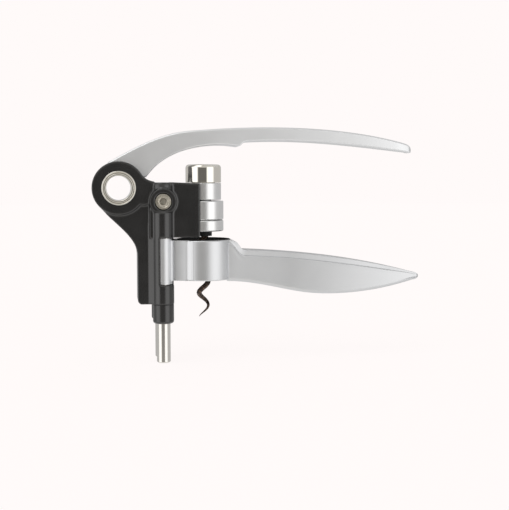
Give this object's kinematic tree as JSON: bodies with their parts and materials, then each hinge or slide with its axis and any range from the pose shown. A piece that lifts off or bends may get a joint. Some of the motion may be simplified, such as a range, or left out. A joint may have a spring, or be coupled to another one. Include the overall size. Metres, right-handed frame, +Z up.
{
  "type": "lever corkscrew",
  "caption": "Lever corkscrew: a geared lever raises a carriage with a spinning worm on guide rods, over two hinged jaws with handles that grip a bottle's neck.",
  "frame": {"origin": "on the axis of the bottle and the worm, level with the lower edge of the jaws", "axes": "+X towards the tips of the jaw handles, -Y the front, +Z up, away from the bottle"},
  "size_m": [0.2009, 0.0354, 0.1399],
  "materials": {
    "frame_black": "matt black coated die casting",
    "collar_black": "moulded, fine matt",
    "nickel": "worn nickel plate",
    "bright_chrome": "polished plate",
    "white_nylon": "natural nylon",
    "satin_barrel": "turned and satin plated",
    "plain_steel": "machined steel",
    "black_nylon": "moulded black",
    "rod_steel": "ground and plated steel",
    "worm_coating": "dark low-friction coating on steel",
    "bronze": "plain",
    "lever_satin": "satin plated casting",
    "jaw_satin": "satin plated casting",
    "pad_rubber": "smooth black"
  },
  "bodies": {
    "frame": {"frame": "frame_black", "guide_collars": "collar_black", "guide_screws": "nickel", "pivot_sleeve": "bright_chrome", "pivot_ring": "bright_chrome", "nut_housing": "satin_barrel", "housing_sleeve": "satin_barrel", "housing_screws": "plain_steel", "worm_nut": "black_nylon", "nut_ring": "plain_steel"},
    "carriage": {"crosshead": "plain_steel", "top_barrel": "satin_barrel", "worm_cap": "bright_chrome", "guide_rod_front": "rod_steel", "guide_rod_back": "rod_steel", "rod_screws": "plain_steel", "rack": "plain_steel", "rack_screws": "plain_steel", "thrust_washer": "bronze"},
    "worm": {"worm": "worm_coating", "worm_spindle": "plain_steel", "worm_clip": "plain_steel"},
    "lever": {"lever": "lever_satin", "pivot_bush_front": "white_nylon", "pivot_bush_back": "white_nylon"},
    "jaw_front": {"jaw_front": "jaw_satin", "jaw_pad_front": "pad_rubber"},
    "jaw_back": {"jaw_back": "jaw_satin", "jaw_pad_back": "pad_rubber"}
  },
  "joints": [
    {"name": "lever_pivot", "type": "hinge", "parent": "frame", "child": "lever", "pos_m": [-0.0507, 0, 0.0549], "axis": [0, -1, 0], "range_deg": [0, 190]},
    {"name": "carriage_slide", "type": "slide", "parent": "frame", "child": "carriage", "axis": [0, 0, 1], "range_m": [0, 0.0465]},
    {"name": "worm_spin", "type": "hinge", "parent": "carriage", "child": "worm", "pos_m": [0, 0, 0.057], "axis": [0, 0, 1], "range_deg": [0, 1115]},
    {"name": "jaw_front_hinge", "type": "hinge", "parent": "frame", "child": "jaw_front", "pos_m": [-0.025, -0.0095, 0.0118], "axis": [0, 0, -1], "range_deg": [0, 28]},
    {"name": "jaw_back_hinge", "type": "hinge", "parent": "frame", "child": "jaw_back", "pos_m": [-0.025, 0.0095, 0.0118], "axis": [0, 0, 1], "range_deg": [0, 28]}
  ],
  "couplings": [
    {"joint": "carriage_slide", "follows": "lever_pivot", "m_per_rad": 0.014},
    {"joint": "worm_spin", "follows": "lever_pivot", "ratio": 5.8643}
  ]
}
